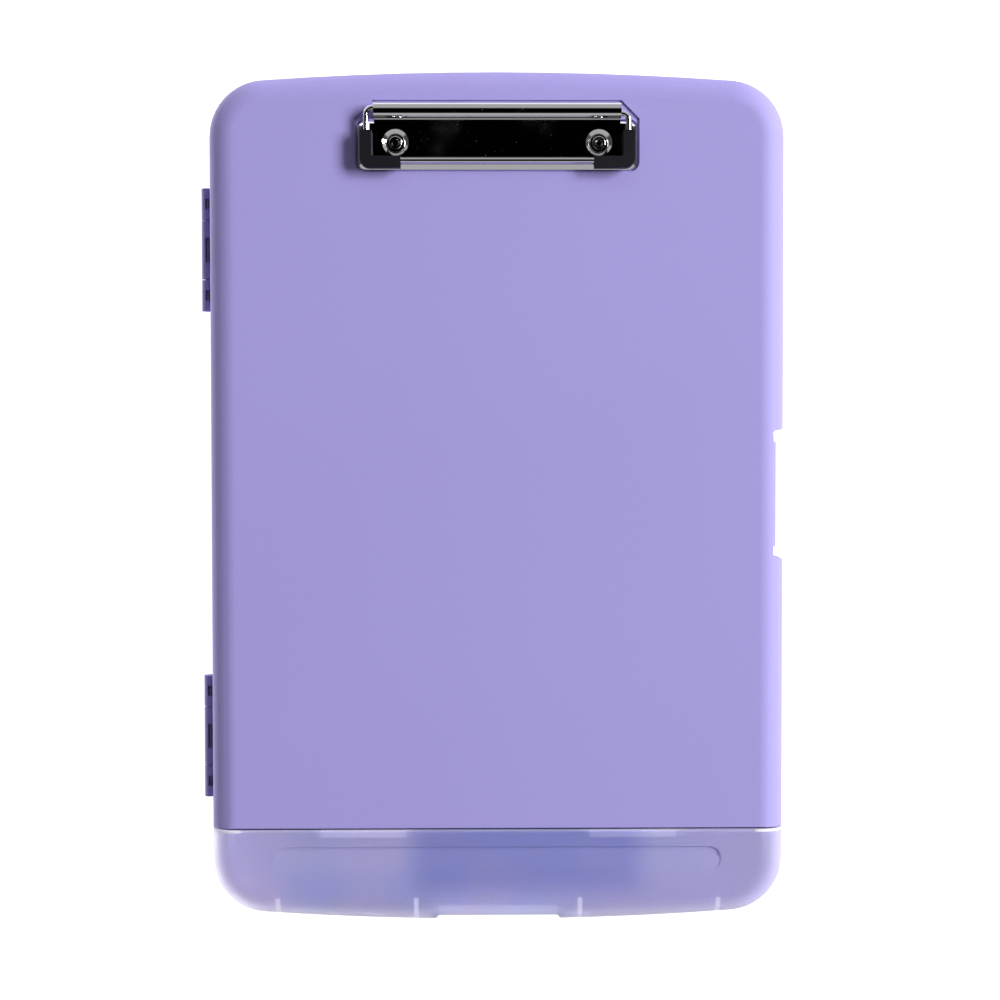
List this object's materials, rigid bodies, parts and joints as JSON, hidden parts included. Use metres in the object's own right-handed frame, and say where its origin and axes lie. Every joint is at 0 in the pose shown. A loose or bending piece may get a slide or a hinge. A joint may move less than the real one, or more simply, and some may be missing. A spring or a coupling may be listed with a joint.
{
  "type": "storage clipboard box",
  "caption": "Slim two-compartment clipboard case: side-hinged writing lid with a low-profile wire clip, and a frosted flip-up cover over the pen tray.",
  "frame": {"origin": "on the flat back face, below the middle of the case's outline (hinges not counted)", "axes": "+Z out of the writing face, +Y along the case towards the clip, +X towards the latch side"},
  "size_m": [0.2474, 0.3597, 0.035],
  "materials": {
    "lilac_plastic": "fine matte moulding grain",
    "frosted_plastic": "frosted translucent",
    "pin_steel": "drawn wire",
    "clip_chrome": "bright chrome plate",
    "black_rubber": "smooth moulded rubber"
  },
  "bodies": {
    "base": {"base_tray": "lilac_plastic", "hinge_pin_upper": "pin_steel", "hinge_pin_lower": "pin_steel"},
    "lid": {"lid": "lilac_plastic", "clip_plate": "clip_chrome", "clip_rivet_left": "clip_chrome", "clip_rivet_right": "clip_chrome"},
    "pen_cover": {"pen_cover": "frosted_plastic"},
    "clip_jaw": {"clip_wire": "clip_chrome", "clip_grip_left": "black_rubber", "clip_grip_right": "black_rubber"}
  },
  "joints": [
    {"name": "lid_hinge", "type": "hinge", "parent": "base", "child": "lid", "pos_m": [-0.1235, 0, 0.01415], "axis": [0, -1, 0], "range_deg": [0, 180]},
    {"name": "pen_cover_hinge", "type": "hinge", "parent": "base", "child": "pen_cover", "pos_m": [0, -0.14169, 0.0265], "axis": [-1, 0, 0], "range_deg": [0, 100]},
    {"name": "clip_jaw_hinge", "type": "hinge", "parent": "lid", "child": "clip_jaw", "pos_m": [0, 0.1617, 0.03175], "axis": [-1, 0, 0], "range_deg": [0, 95], "stiffness_Nm_per_rad": 0.12, "springref_deg": -91.67}
  ]
}
